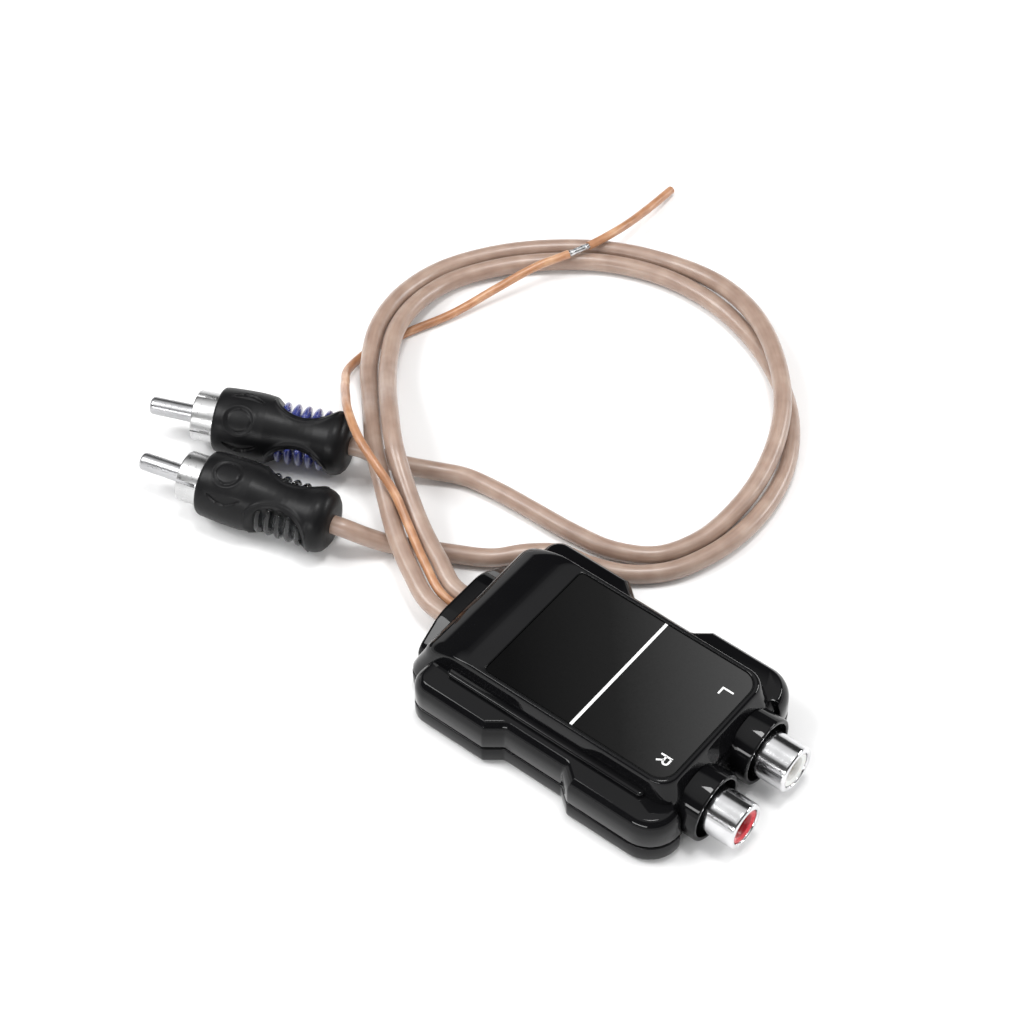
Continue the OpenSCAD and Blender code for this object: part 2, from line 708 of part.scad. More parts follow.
// The jacket of the ground wire, on both sides of its stripped window
module ground_wire() {
    color("#c47a45") {
        tube(WIRE_START, wire_r);
        tube(WIRE_END, wire_r);
    }
}

// The strands that the stripped window shows
module bare_strands() {
    color("#c9ccd0") tube([last(WIRE_START), WIRE_END[0]], wire_r * 0.7);
}

// Puts a plug's piece, drawn along x from the tail end, at its place
module plug_place(at, heading, roll) {
    from_exit() translate(at) rotate([roll, 0, heading]) children();
}

// A solid turned about x from its profile [x, radius]
module turned(profile) {
    rotate([0, 90, 0]) rotate_extrude() polygon([for (p = profile) [p[1], p[0]]]);
}

// The rubber body of a plug, scooped on both sides for the ribbed grip
module plug_body() {
    head = plug_len - 9.3;
    color("#1b1b1c") difference() {
        turned([[0, 0], [0, tail_flat_r], [0.3, 4.4], [1, 5.3], [2.2, 5.8], [3.6, 5.7], [6, 5.2],
            [scoop_x, 5], [scoop_x + 3, 5.2], [head, 5.8], [head + 2.4, plug_r],
            [plug_len - 1.4, plug_r - 0.1], [plug_len - 0.3, plug_r - 0.5], [plug_len, plug_r - 1],
            [plug_len, 0]]);
        for (side = [-1, 1])
            translate([scoop_x, side * (scoop_web / 2 + scoop_r), -plug_r])
                cylinder(h = plug_d, r = scoop_r, $fn = 64);
        translate([grip_start, 0, 0]) rotate([0, 90, 0]) cylinder(h = grip_len, r = grip_core_r);
        translate([plug_len - shield_depth, 0, 0]) rotate([0, 90, 0])
            cylinder(h = shield_depth + 1, r = shield_r + shield_t);
        translate([pin_root_x, 0, 0]) rotate([0, 90, 0]) cylinder(h = 7, r = pin_root_r);
    }
}

// The clear grip inside the body: a core with ribs that show in the two scoops
module plug_grip(colour) {
    color(colour) {
        translate([grip_start, 0, 0]) rotate([0, 90, 0]) cylinder(h = grip_len, r = grip_core_r);
        intersection() {
            for (k = [0:rib_count - 1])
                translate([scoop_x + (k - (rib_count - 1) / 2) * rib_pitch - rib_t / 2, 0, 0])
                    rotate([0, 90, 0]) cylinder(h = rib_t, r = grip_rib_r);
            union() for (side = [-1, 1])
                translate([scoop_x, side * (scoop_web / 2 + scoop_r), -plug_r])
                    cylinder(h = plug_d, r = scoop_r - 0.1, $fn = 64);
        }
    }
}

// The sprung shield of a plug, slotted from its rim
module plug_shield() {
    base = plug_len - shield_depth;
    rim = plug_len + shield_len;
    color("#c9ccd0") difference() {
        turned([[base, 2.4], [base, shield_r + shield_t], [rim - 0.3, shield_r + shield_t],
            [rim, shield_r + shield_t - 0.15], [rim, shield_r], [base + 0.4, shield_r], [base + 0.4, 2.4]]);
        for (k = [0:shield_slots - 1])
            rotate([45 + k * 360 / shield_slots, 0, 0])
                block([plug_len + 0.6, -slot_w / 2, 0], [rim + 1, slot_w / 2, shield_r + 1]);
    }
}

// The insulator between a plug's shield and its pin
module plug_insulator() {
    base = plug_len - shield_depth + 0.4;
    color("#e9e9e6") turned([[base, pin_root_r], [base, shield_r], [base + insulator_len, shield_r],
        [base + insulator_len, pin_root_r]]);
}

// The pin of a plug, with a narrower root and a rounded tip
module plug_pin() {
    tip = plug_len + shield_len + pin_reach;
    color("#d2d5d8") turned([[pin_root_x, 0], [pin_root_x, pin_root_r],
        [pin_free_x - 0.1, pin_root_r], [pin_free_x, pin_r], [tip - 1.2, pin_r], [tip - 0.6, pin_r * 0.9], [tip - 0.2, pin_r * 0.62], [tip, pin_r * 0.3], [tip, 0]]);
}

upper_casing();
lower_casing();
label_plate();
jack_barrel(jack_pitch / 2);  // left_jack_barrel
jack_insert(jack_pitch / 2, "#f4f4f2");  // left_jack_insert
jack_contact(jack_pitch / 2);  // left_jack_contact
ground_lug(jack_pitch / 2);  // left_ground_lug
jack_barrel(-jack_pitch / 2);  // right_jack_barrel
jack_insert(-jack_pitch / 2, "#d3202e");  // right_jack_insert
jack_contact(-jack_pitch / 2);  // right_jack_contact
ground_lug(-jack_pitch / 2);  // right_ground_lug
circuit_board();
core(trafo_pitch / 2);  // left_core
bobbin(trafo_pitch / 2);  // left_bobbin
winding(trafo_pitch / 2);  // left_winding
core(-trafo_pitch / 2);  // right_core
bobbin(-trafo_pitch / 2);  // right_bobbin
winding(-trafo_pitch / 2);  // right_winding
terminal_pins();
screw(screw_x, screw_front_y);  // front_left_screw
screw(-screw_x, screw_front_y);  // front_right_screw
screw(screw_x, screw_rear_y);  // rear_left_screw
screw(-screw_x, screw_rear_y);  // rear_right_screw
cable_grommet();
inner_leads();
left_cable();
right_cable();
ground_wire();
bare_strands();
plug_place(left_plug_at, left_plug_heading, left_plug_roll) plug_body();  // left_plug_body
plug_place(left_plug_at, left_plug_heading, left_plug_roll) plug_grip("#dfe3e6");  // left_plug_grip
plug_place(left_plug_at, left_plug_heading, left_plug_roll) plug_shield();  // left_plug_shield
plug_place(left_plug_at, left_plug_heading, left_plug_roll) plug_insulator();  // left_plug_insulator
plug_place(left_plug_at, left_plug_heading, left_plug_roll) plug_pin();  // left_plug_pin
plug_place(right_plug_at, right_plug_heading, right_plug_roll) plug_body();  // right_plug_body
plug_place(right_plug_at, right_plug_heading, right_plug_roll) plug_grip("#6f74c8");  // right_plug_grip
plug_place(right_plug_at, right_plug_heading, right_plug_roll) plug_shield();  // right_plug_shield
plug_place(right_plug_at, right_plug_heading, right_plug_roll) plug_insulator();  // right_plug_insulator
plug_place(right_plug_at, right_plug_heading, right_plug_roll) plug_pin();  // right_plug_pin
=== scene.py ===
import math

import bmesh
import bpy
import numpy as np
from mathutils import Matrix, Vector


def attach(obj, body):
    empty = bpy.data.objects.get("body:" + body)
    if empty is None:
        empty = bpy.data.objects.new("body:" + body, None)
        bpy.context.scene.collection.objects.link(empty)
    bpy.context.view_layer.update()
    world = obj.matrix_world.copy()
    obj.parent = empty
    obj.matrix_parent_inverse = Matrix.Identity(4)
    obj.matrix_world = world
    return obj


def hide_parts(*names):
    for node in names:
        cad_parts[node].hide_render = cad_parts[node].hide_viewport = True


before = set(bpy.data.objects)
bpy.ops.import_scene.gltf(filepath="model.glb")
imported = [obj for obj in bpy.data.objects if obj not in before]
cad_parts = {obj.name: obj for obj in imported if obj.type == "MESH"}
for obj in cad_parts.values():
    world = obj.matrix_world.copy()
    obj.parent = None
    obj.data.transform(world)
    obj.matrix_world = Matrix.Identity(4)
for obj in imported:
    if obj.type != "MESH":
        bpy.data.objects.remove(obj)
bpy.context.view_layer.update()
MM = 0.001

# ---------------------------------------------------------------- camera
cam_data = bpy.data.cameras.new("camera")
cam_data.lens = 112.5
cam_data.sensor_width = 36
cam_data.clip_start = 0.01
cam_data.clip_end = 20
cam = bpy.data.objects.new("camera", cam_data)
bpy.context.scene.collection.objects.link(cam)
cam.location = (-0.2568, -0.1820, 0.4255)
cam.rotation_mode = "QUATERNION"
aim = Vector((0.0252, 0.0408, 0)) - cam.location
cam.rotation_quaternion = aim.to_track_quat("-Z", "Y")
bpy.context.scene.camera = cam


# ---------------------------------------------------------------- materials
def nodes_of(name):
    m = bpy.data.materials.new(name)
    m.use_nodes = True
    return m, m.node_tree.nodes, m.node_tree.links


def noise(nodes, links, coord, scale, detail=3.0, rough=0.5):
    n = nodes.new("ShaderNodeTexNoise")
    n.inputs["Scale"].default_value = scale
    n.inputs["Detail"].default_value = detail
    n.inputs["Roughness"].default_value = rough
    links.new(coord, n.inputs["Vector"])
    return n.outputs["Fac"]


def between(nodes, links, fac, low, high, a=0.3, b=0.7):
    r = nodes.new("ShaderNodeMapRange")
    r.inputs["From Min"].default_value = a
    r.inputs["From Max"].default_value = b
    r.inputs["To Min"].default_value = low
    r.inputs["To Max"].default_value = high
    links.new(fac, r.inputs["Value"])
    return r.outputs["Result"]


def ramp(nodes, links, fac, *stops):
    r = nodes.new("ShaderNodeValToRGB")
    while len(r.color_ramp.elements) < len(stops):
        r.color_ramp.elements.new(0.5)
    for e, (at, colour) in zip(r.color_ramp.elements, stops):
        e.position = at
        e.color = (*colour, 1)
    links.new(fac, r.inputs["Fac"])
    return r.outputs["Color"]


def bump(nodes, links, height, strength, distance, normal=None):
    b = nodes.new("ShaderNodeBump")
    b.inputs["Strength"].default_value = strength
    b.inputs["Distance"].default_value = distance
    links.new(height, b.inputs["Height"])
    if normal is not None:
        links.new(normal, b.inputs["Normal"])
    return b.outputs["Normal"]


def plain(name, dark, light, rough, metallic=0.0, grain=900.0, relief=0.0, coat=0.0, spread=0.04,
          transmission=0.0, ior=1.5, specular=0.5, subsurface=0.0, coat_rough=0.03):
    """A finish with a slow change of tone, a finer change of gloss and a little relief."""
    m, nodes, links = nodes_of(name)
    p = nodes["Principled BSDF"]
    c = nodes.new("ShaderNodeTexCoord").outputs["Object"]
    slow = noise(nodes, links, c, grain * 0.12)
    fine = noise(nodes, links, c, grain, 5)
    links.new(ramp(nodes, links, slow, (0.3, dark), (0.7, light)), p.inputs["Base Color"])
    links.new(between(nodes, links, fine, max(0.01, rough - spread), rough + spread), p.inputs["Roughness"])
    p.inputs["Metallic"].default_value = metallic
    p.inputs["Coat Weight"].default_value = coat
    p.inputs["Coat Roughness"].default_value = coat_rough
    p.inputs["Transmission Weight"].default_value = transmission
    p.inputs["IOR"].default_value = ior
    p.inputs["Specular IOR Level"].default_value = specular
    p.inputs["Subsurface Weight"].default_value = subsurface
    p.inputs["Subsurface Radius"].default_value = (0.001, 0.0006, 0.0004)
    if relief:
        links.new(bump(nodes, links, fine, 0.35, relief), p.inputs["Normal"])
    return m


gloss_black = plain("gloss_black", (0.0035, 0.0035, 0.004), (0.005, 0.005, 0.0055), 0.05, grain=700, spread=0.015, specular=0.22)
label_grey = plain("label_grey", (0.010, 0.010, 0.011), (0.014, 0.014, 0.015), 0.3, grain=1400, spread=0.03, relief=0.00001)


def paint_label_sheen(m):
    """Painted sheen on the plate: its colour goes from near black at its rear corner to dark grey at the jacks, and
    grows lighter towards +x.
    """
    nodes, links = m.node_tree.nodes, m.node_tree.links
    sep = nodes.new("ShaderNodeSeparateXYZ")
    links.new(nodes.new("ShaderNodeTexCoord").outputs["Object"], sep.inputs[0])
    along = between(nodes, links, sep.outputs[1], 0.0, 0.62, 0.0165, -0.02)
    across = between(nodes, links, sep.outputs[0], 0.0, 0.38, -0.013, 0.013)
    both = nodes.new("ShaderNodeMath")
    both.operation = "ADD"
    links.new(along, both.inputs[0])
    links.new(across, both.inputs[1])
    grain = noise(nodes, links, nodes.new("ShaderNodeTexCoord").outputs["Object"], 2500, 4)
    mix = nodes.new("ShaderNodeMath")
    mix.operation = "MULTIPLY_ADD"
    links.new(grain, mix.inputs[0])
    mix.inputs[1].default_value = 0.06
    links.new(both.outputs[0], mix.inputs[2])
    # painted sheen: the base colour grows lighter towards the front and towards +x
    links.new(ramp(nodes, links, mix.outputs[0], (0.12, (0.0008, 0.0008, 0.0009)), (0.5, (0.008, 0.008, 0.008)),
                   (1.0, (0.045, 0.045, 0.045))), nodes["Principled BSDF"].inputs["Base Color"])
    nodes["Principled BSDF"].inputs["Specular IOR Level"].default_value = 0.08


# the label's base colour carries a painted sheen
paint_label_sheen(label_grey)
print_white = plain("print_white", (0.75, 0.75, 0.75), (0.82, 0.82, 0.82), 0.4, grain=1500)
white_plastic = plain("white_plastic", (0.76, 0.76, 0.74), (0.82, 0.82, 0.8), 0.3, grain=800, subsurface=0.1)
red_plastic = plain("red_plastic", (0.55, 0.008, 0.02), (0.66, 0.015, 0.03), 0.28, grain=800, subsurface=0.05)
# painted shade: darker copies of the insert colours, for the inside of the holes where shade falls
red_throat_painted_shade = plain("red_throat_painted_shade", (0.3, 0.004, 0.01), (0.38, 0.007, 0.015), 0.3, grain=800)
white_throat_painted_shade = plain("white_throat_painted_shade", (0.6, 0.6, 0.58), (0.68, 0.68, 0.66), 0.3, grain=800)
gold_contact = plain("gold_contact", (0.62, 0.44, 0.18), (0.74, 0.55, 0.26), 0.25, 1.0, grain=1200)
board_green = plain("board_green", (0.02, 0.12, 0.05), (0.03, 0.17, 0.08), 0.35, grain=600, relief=0.00001)
lamination = plain("lamination", (0.24, 0.25, 0.27), (0.34, 0.35, 0.37), 0.4, 1.0, grain=1500, relief=0.00002)
nylon = plain("nylon", (0.66, 0.62, 0.5), (0.74, 0.7, 0.58), 0.45, grain=700, subsurface=0.1)
copper_wire = plain("copper_wire", (0.45, 0.17, 0.06), (0.6, 0.26, 0.1), 0.3, 1.0, grain=2600, relief=0.00003)
tinned = plain("tinned", (0.55, 0.56, 0.57), (0.68, 0.69, 0.7), 0.25, 1.0, grain=2200, relief=0.00002)
dark_steel = plain("dark_steel", (0.05, 0.05, 0.055), (0.08, 0.08, 0.085), 0.35, 1.0, grain=1500)
rubber = plain("rubber", (0.0045, 0.0045, 0.005), (0.007, 0.007, 0.0075), 0.42, grain=2400, relief=0.00003, specular=0.12, coat=0.1, coat_rough=0.28)
clear_grip = plain("clear_grip", (0.78, 0.82, 0.85), (0.88, 0.91, 0.93), 0.04, grain=900, transmission=1.0, ior=1.46, spread=0.02)
violet_grip = plain("violet_grip", (0.05, 0.065, 0.3), (0.09, 0.11, 0.42), 0.1, grain=900, transmission=0.5, ior=1.46, coat=0.6)


def turned_metal(name, dark, light, rough, lines, axis):
    """Bright plating with the fine lines that turning leaves round the axis."""
    m, nodes, links = nodes_of(name)
    p = nodes["Principled BSDF"]
    c = nodes.new("ShaderNodeTexCoord").outputs["Object"]
    sep = nodes.new("ShaderNodeSeparateXYZ")
    links.new(c, sep.inputs[0])
    comb = nodes.new("ShaderNodeCombineXYZ")
    links.new(sep.outputs[axis], comb.inputs[0])
    fine = noise(nodes, links, comb.outputs[0], lines, 6, 0.7)
    slow = noise(nodes, links, c, 300)
    links.new(ramp(nodes, links, slow, (0.3, dark), (0.7, light)), p.inputs["Base Color"])
    links.new(between(nodes, links, fine, rough * 0.6, rough * 1.5), p.inputs["Roughness"])
    links.new(bump(nodes, links, fine, 0.12, 0.00002), p.inputs["Normal"])
    p.inputs["Metallic"].default_value = 1.0
    return m


barrel_metal = turned_metal("barrel_metal", (0.62, 0.62, 0.63), (0.74, 0.74, 0.75), 0.15, 5000, 1)
shield_metal = plain("shield_metal", (0.5, 0.5, 0.5), (0.64, 0.64, 0.64), 0.3, 1.0, grain=1500)
pin_metal = plain("pin_metal", (0.4, 0.4, 0.41), (0.52, 0.52, 0.53), 0.3, 1.0, grain=1500)


def jacket(name, dark, light, pale, strands, pitch, rough):
    """A clear jacket over fine strands that cross each other. U runs along the cord in metres, V round it."""
    m, nodes, links = nodes_of(name)
    p = nodes["Principled BSDF"]
    tc = nodes.new("ShaderNodeTexCoord")
    sep = nodes.new("ShaderNodeSeparateXYZ")
    links.new(tc.outputs["UV"], sep.inputs[0])

    def math_node(op, a, b):
        n = nodes.new("ShaderNodeMath")
        n.operation = op
        for k, v in ((0, a), (1, b)):
            if v is None:
                continue
            if isinstance(v, (int, float)):
                n.inputs[k].default_value = v
            else:
                links.new(v, n.inputs[k])
        return n.outputs[0]

    along = math_node("MULTIPLY", sep.outputs[0], 2 * math.pi / pitch)
    round_ = math_node("MULTIPLY", sep.outputs[1], 2 * math.pi * strands)
    one = math_node("SINE", math_node("ADD", along, round_), None)
    two = math_node("SINE", math_node("SUBTRACT", round_, along), None)
    weave = math_node("MAXIMUM", one, two)
    c = tc.outputs["Object"]
    patch = noise(nodes, links, c, 260, 2, 0.5)
    fine = noise(nodes, links, c, 3500, 3)
    tone = math_node("ADD", math_node("MULTIPLY", weave, 0.05), patch)
    links.new(ramp(nodes, links, tone, (0.32, dark), (0.55, light), (0.78, pale)), p.inputs["Base Color"])
    links.new(between(nodes, links, fine, rough - 0.05, rough + 0.05), p.inputs["Roughness"])
    links.new(bump(nodes, links, weave, 0.12, 0.00004), p.inputs["Normal"])
    p.inputs["Coat Weight"].default_value = 0.5
    p.inputs["Coat Roughness"].default_value = 0.26
    p.inputs["Sheen Weight"].default_value = 0.12
    p.inputs["Sheen Roughness"].default_value = 0.4
    p.inputs["Subsurface Weight"].default_value = 0.25
    p.inputs["Subsurface Radius"].default_value = (0.0012, 0.0008, 0.0006)
    return m


rose = jacket("rose_jacket", (0.28, 0.187, 0.143), (0.335, 0.232, 0.18), (0.39, 0.285, 0.225), 14, 0.012, 0.42)
orange = jacket("orange_jacket", (0.3, 0.13, 0.055), (0.42, 0.2, 0.095), (0.56, 0.33, 0.19), 7, 0.006, 0.42)


# ---------------------------------------------------------------- meshes
def shade(bm, angle):
    lim = math.radians(angle)
    for e in bm.edges:
        e.smooth = len(e.link_faces) == 2 and e.calc_face_angle(0) < lim
    for f in bm.faces:
        f.smooth = True


def cut(ob, part, angle):
    """Take the closed solid in part, in mm, out of the piece."""
    me = bpy.data.meshes.new("cutter")
    me.from_pydata([tuple(c * MM for c in v) for v in part[0]], [], part[1])
    tool = bpy.data.objects.new("cutter", me)
    bpy.context.scene.collection.objects.link(tool)
    mod = ob.modifiers.new("cut", "BOOLEAN")
    mod.operation, mod.solver, mod.object = "DIFFERENCE", "EXACT", tool
    bm = bmesh.new()
    bm.from_object(ob, bpy.context.evaluated_depsgraph_get())
    shade(bm, angle)
    ob.modifiers.clear()
    bm.to_mesh(ob.data)
    bm.free()
    bpy.data.objects.remove(tool)


def make(name, verts, faces, material, angle=32, uvs=None, materials=None, face_mats=None):
    me = bpy.data.meshes.new(name)
    me.from_pydata([tuple(float(c) * MM for c in v) for v in verts], [], [tuple(f) for f in faces])
    if uvs is not None:
        layer = me.uv_layers.new(name="UVMap")
        i = 0
        for f, corners in zip(faces, uvs):
            for uv in corners:
                layer.data[i].uv = uv
                i += 1
    bm = bmesh.new()
    bm.from_mesh(me)
    bmesh.ops.remove_doubles(bm, verts=bm.verts, dist=1e-7)
    bmesh.ops.recalc_face_normals(bm, faces=bm.faces)
    shade(bm, angle)
    bm.to_mesh(me)
    bm.free()
    for mat in materials or [material]:
        me.materials.append(mat)
    if face_mats is not None:
        for poly, k in zip(me.polygons, face_mats):
            poly.material_index = k
    ob = bpy.data.objects.new(name, me)
    bpy.context.scene.collection.objects.link(ob)
    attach(ob, "root")
    return ob


def merge(*parts):
    verts, faces = [], []
    for v, f in parts:
        n = len(verts)
        verts += [tuple(p) for p in v]
        faces += [tuple(i + n for i in g) for g in f]
    return verts, faces


def loft(rings, caps=(True, True), closed=True):
    n = len(rings[0])
    verts = [tuple(p) for r in rings for p in r]
    faces = []
    for j in range(len(rings) - 1):
        for i in range(n if closed else n - 1):
            a, b = j * n + i, j * n + (i + 1) % n
            faces.append((a, b, b + n, a + n))
    if caps[0]:
        faces.append(tuple(range(n - 1, -1, -1)))
    if caps[1]:
        faces.append(tuple((len(rings) - 1) * n + i for i in range(n)))
    return verts, faces


def outline(corners, d, fine=10):
    """The corners [x, y, radius] of an outline that runs anticlockwise, moved inward by d and rounded."""
    n = len(corners)
    p = [np.array(c[:2], float) for c in corners]
    u = [(p[(i + 1) % n] - p[i]) / np.linalg.norm(p[(i + 1) % n] - p[i]) for i in range(n)]
    q = []
    for i in range(n):
        a, b = u[i - 1], u[i]
        q.append(p[i] + np.array([-a[1] - b[1], a[0] + b[0]]) * d / (1 + a @ b))
    out = []
    for i in range(n):
        a, b = u[i - 1], u[i]
        side = 1 if a[0] * b[1] - a[1] * b[0] > 0 else -1
        r = max(0.12, corners[i][2] - side * d)
        turn = math.acos(max(-1, min(1, a @ b)))
        start = q[i] - a * r * math.tan(turn / 2)
        mid = start + np.array([-a[1], a[0]]) * r * side
        base = math.atan2(-side * a[0], side * a[1])
        steps = fine if corners[i][2] > 1 else max(4, fine // 2)
        for k in range(steps + 1):
            t = base + side * turn * k / steps
            out.append((mid[0] + r * math.cos(t), mid[1] + r * math.sin(t)))
    return out


def mirrored(half):
    return list(half) + [(-x, y, r) for x, y, r in reversed(half)]


def lathe(profile, n=96, arc=None):
    """Turned about x. profile is [(x, r)]; returns verts with y = r cos, z = r sin."""
    a = [2 * math.pi * k / n for k in range(n)] if arc is None else \
        [arc[0] + (arc[1] - arc[0]) * k / n for k in range(n + 1)]
    rings = [[(x, r * math.cos(t), r * math.sin(t)) for t in a] for x, r in profile]
    return loft(rings, (False, False), arc is None)


def put(part, move):
    return [move(v) for v in part[0]], part[1]


# ---------------------------------------------------------------- casing
SPLIT, DECK, WING = 4.3, 14.0, 9.8
FRONT, BAY, TAIL, REAR, WING_END = -24.0, -22.9, 31.0, 32.0, 27.3


def wing_corners(d):
    """Corners of the wings at inset d; the bay's side walls keep nearly upright."""
    half = [(13.4 - 0.7 * d, BAY, 0.3), (13.4 - 0.7 * d, FRONT, 0.5), (20, FRONT, 5.8), (20, -6, 0.8),
            (17.8, -3.2, 0.8), (17.8, 8.5, 0.8), (20, 11.3, 0.8), (20, WING_END, 3.5)]
    return mirrored(half)


def base_corners(d):
    half = [(13.4 - 0.7 * d, BAY, 0.3), (13.4 - 0.7 * d, FRONT, 0.5), (20, FRONT, 5.8), (20, -6, 0.8),
            (17.8, -3.2, 0.8), (17.8, 8.5, 0.8), (20, 11.3, 0.8), (20, WING_END, 3.5),
            (15.2, WING_END, 0.5), (15.2, TAIL, 2.2)]
    return mirrored(half)


def at_level(points, z):
    return [(x, y, z) for x, y in points]


wing_steps = [(SPLIT, 0.25), (SPLIT + 0.1, 0.08), (SPLIT + 0.3, 0), (7.1, 0.05)]
wing_steps += [(7.1 + 2.4 * math.sin(math.radians(t)) / 0.87, 0.05 + 2.1 * (1 - math.cos(math.radians(t))))
               for t in (10, 20, 30, 40, 50, 60)]
wing_steps += [(9.62, 1.23), (9.71, 1.36), (9.77, 1.48), (9.8, 1.62)]
wings = loft([at_level(outline(wing_corners(d), d), z) for z, d in wing_steps])


def rear_at(z):
    """Where the deck's sloping rear is at height z."""
    zs = [SPLIT, 4.9, 8.6, 10.4, 11.5, 12.6, 13.4, 13.8, 14.0]
    ys = [31, 31, 29.3, 28.6, 27.8, 25.8, 23.8, 22.2, 20.4]
    return float(np.interp(z, zs, ys))


def deck_ring(z, d, front):
    half = 13.9 + (DECK - z) * 0.134
    return at_level(outline(mirrored([(half, front, 3.6), (half, rear_at(z), 2.4)]), d, 16), z)


lean = lambda z: -22.3 + 1.4 * max(0.0, (z - 10.0) / 4.0)
deck_rings = [deck_ring(z, 0, lean(z)) for z in (SPLIT, 4.9, 6.5, 8.0, 8.8, 9.6, 9.95, 10.05, 10.5, 10.8, 11.3, 11.8, 12.3, 12.8)]
deck_rings += [deck_ring(z, d, lean(z)) for z, d in
               ((13.2, 0.0), (13.5, 0.02), (13.7, 0.07), (13.84, 0.15), (13.93, 0.25), (13.98, 0.35), (14.0, 0.48))]


def rim_ring(grow, z):
    half = 12.9 + grow
    return at_level(outline(mirrored([(half, -19.9 - grow, 3 + grow), (half, 16.4 + grow, 1.0 + grow)]), 0, 16), z)


deck_rings += [rim_ring(0.36, 14.0), rim_ring(0.24, 13.97), rim_ring(0.15, 13.9), rim_ring(0.1, 13.78), rim_ring(0.1, 13.4)]
deck = loft(deck_rings)


def collar(x):
    """The round collar about one jack, with its recess."""
    profile = [(-21.9, 6.1), (-25.8, 6.1), (-26.0, 6.04), (-26.1, 5.9), (-26.1, 5.5), (-26.03, 5.36),
               (-25.85, 5.3), (-22.95, 5.3), (-22.9, 5.2), (-22.9, 4.25), (-21.5, 4.25)]
    v, f = lathe(profile, 96)
    return [(b + x, a, max(0.05, c + 5.8)) for a, b, c in v], f


def nose():
    corners = mirrored([(11.4, 0.2, 3), (11.4, 5.3, 3), (5.4, 9.2, 6)])
    steps = [(26.5, 0), (31.4, 0), (31.7, 0.04), (31.88, 0.14), (31.97, 0.28), (32.0, 0.45), (32.0, 1.3),
             (31.94, 1.46), (31.8, 1.56), (31.2, 1.6)]
    return loft([[(x, y, z) for x, z in outline(corners, d, 14)] for y, d in steps], (False, False))


def bead(x):
    """The rounded bead along the foot of the deck."""
    corners = mirrored([(1, -17.2, 0.85), (1, 22.5, 0.85)])
    steps = [(9.3, 0), (10.35, 0), (10.5, 0.03), (10.62, 0.1), (10.71, 0.2), (10.77, 0.33), (10.8, 0.5)]
    v, f = loft([at_level(outline(corners, d, 12), z) for z, d in steps])
    return [(a + x, b, c) for a, b, c in v], f


BEAD_X = 13.9 + (DECK - WING) * 0.134
v, f = merge(wings, deck, bead(BEAD_X), bead(-BEAD_X), collar(7), collar(-7), nose())
upper = make("upper_casing_look", v, f, gloss_black, 40)
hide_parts("upper_casing")

base_steps = [(0, 1.3), (0.06, 1.0), (0.2, 0.7), (0.45, 0.38), (0.8, 0.14), (1.25, 0), (SPLIT - 0.55, 0),
              (SPLIT - 0.42, 0.06), (SPLIT - 0.35, 0.2), (SPLIT - 0.35, 0.5), (SPLIT, 0.5)]
v, f = loft([at_level(outline(base_corners(d), d), z) for z, d in base_steps])
lower = make("lower_casing_look", v, f, gloss_black, 40)
recess = loft([[(r * math.cos(math.pi * k / 24), r * math.sin(math.pi * k / 24), z) for k in range(48)]
               for z, r in ((-0.5, 2.5), (0.12, 1.9), (1.25, 1.9))])
cut(lower, merge(*[([(a + x, b + y, c) for a, b, c in recess[0]], recess[1])
                   for x in (-16.2, 16.2) for y in (-16, 20.8)]), 40)
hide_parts("lower_casing")


# label plate, its line and the two channel letters
def plate(grow, z0, z1):
    ring = lambda g, z: at_level(outline(mirrored([(12.9 + g, -19.9 - g, 3 + g), (12.9 + g, 16.4 + g, 0.8)]), 0, 14), z)
    return loft([ring(grow, z0), ring(grow, z1 - 0.06), ring(grow - 0.06, z1)])


v, f = plate(0, 13.4, 13.8)
label = make("label_plate_look", v, f, label_grey, 30)
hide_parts("label_plate")


def slab(points, z0, z1):
    return loft([at_level(points, z0), at_level(points, z1)])


def stroke(a, b, w, z0=13.79, z1=13.815):
    a, b = np.array(a, float), np.array(b, float)
    u = (b - a) / np.linalg.norm(b - a)
    n = np.array([-u[1], u[0]]) * w / 2
    return slab([tuple(p) for p in (a - n, b - n, b + n, a + n)], z0, z1)


def path_slab(points, w, z0=13.79, z1=13.815):
    """A flat stroke of even width along the points, with its corners mitred."""
    p = [np.array(q, float) for q in points]
    left, right = [], []
    for i, q in enumerate(p):
        a = p[i] - p[i - 1] if i else p[1] - p[0]
        b = p[i + 1] - p[i] if i < len(p) - 1 else p[-1] - p[-2]
        a, b = a / np.linalg.norm(a), b / np.linalg.norm(b)
        n = np.array([-a[1] - b[1], a[0] + b[0]]) / (1 + a @ b) * w / 2
        left.append(q + n)
        right.append(q - n)
    verts, faces = [], []
    for z in (z0, z1):
        verts += [(*q, z) for q in left] + [(*q, z) for q in right]
    m = len(p)
    for i in range(m - 1):
        l0, l1, r0, r1 = i, i + 1, m + i, m + i + 1
        faces += [(l0, l1, r1, r0), (l0 + 2 * m, r0 + 2 * m, r1 + 2 * m, l1 + 2 * m),
                  (l0, l0 + 2 * m, l1 + 2 * m, l1), (r0, r1, r1 + 2 * m, r0 + 2 * m)]
    faces += [(0, m, 3 * m, 2 * m), (m - 1, 3 * m - 1, 4 * m - 1, 2 * m - 1)]
    return verts, faces


marks = [stroke((-12.9, -1.2), (12.9, -1.2), 0.55)]


def letter(cx, cy, lines, w=0.34):
    """Lines in letter space: x to the right, y up. The letter reads towards -X with its top towards -Y."""
    return [path_slab([(cx - x, cy - y) for x, y in line], w) for line in lines]


